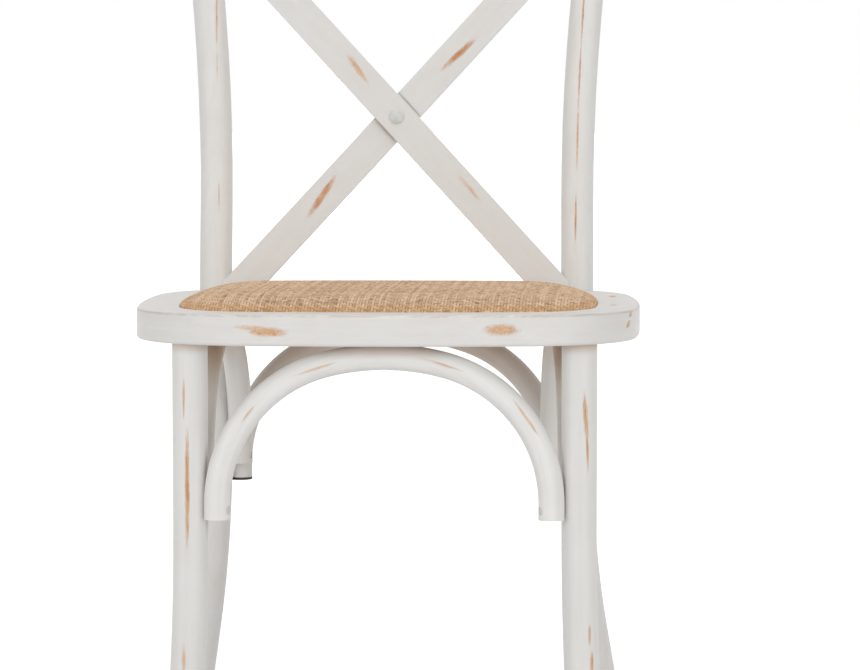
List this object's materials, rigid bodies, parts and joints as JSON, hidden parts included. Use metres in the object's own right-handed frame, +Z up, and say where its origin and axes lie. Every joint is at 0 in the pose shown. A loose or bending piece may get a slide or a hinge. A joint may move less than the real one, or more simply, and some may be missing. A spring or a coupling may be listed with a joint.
{
  "type": "cross-back dining chair",
  "caption": "Bentwood dining chair with a hooped back, crossed back strips, round legs braced by bent arches, and a crowned woven seat in a painted wooden ring.",
  "frame": {"origin": "on the floor, in the middle of the chair's width and depth", "axes": "+Z up, the chair's front faces -Y, +X to the right as seen from the front"},
  "size_m": [0.497, 0.5042, 0.8899],
  "materials": {
    "painted_wood": "warm off-white paint, rubbed through to the wood in places",
    "woven_rattan": "fine twill weave of split rattan, matt",
    "plywood": "bare, sanded",
    "painted_steel": "painted with the chair",
    "brass": "machined",
    "zinc_steel": "zinc plated",
    "black_plastic": "matt, moulded"
  },
  "bodies": {
    "root": {"back_hoop": "painted_wood", "front_leg_left": "painted_wood", "front_leg_right": "painted_wood", "seat_frame": "painted_wood", "cross_strip_front": "painted_wood", "cross_strip_rear": "painted_wood", "front_arch": "painted_wood", "rear_arch": "painted_wood", "side_arch_left": "painted_wood", "side_arch_right": "painted_wood", "woven_seat": "woven_rattan", "seat_board": "plywood", "cross_rivet": "painted_steel", "post_inserts": "brass", "rivet_washer": "zinc_steel", "strip_foot_screws": "zinc_steel", "strip_top_screws": "zinc_steel", "arch_end_screws": "zinc_steel", "arch_crown_screws": "zinc_steel", "leg_lock_screws": "zinc_steel", "post_bolts": "zinc_steel", "seat_board_screws": "zinc_steel", "glide_nails": "zinc_steel", "foot_glide_front_left": "black_plastic", "foot_glide_front_right": "black_plastic", "foot_glide_rear_left": "black_plastic", "foot_glide_rear_right": "black_plastic"}
  },
  "joints": []
}
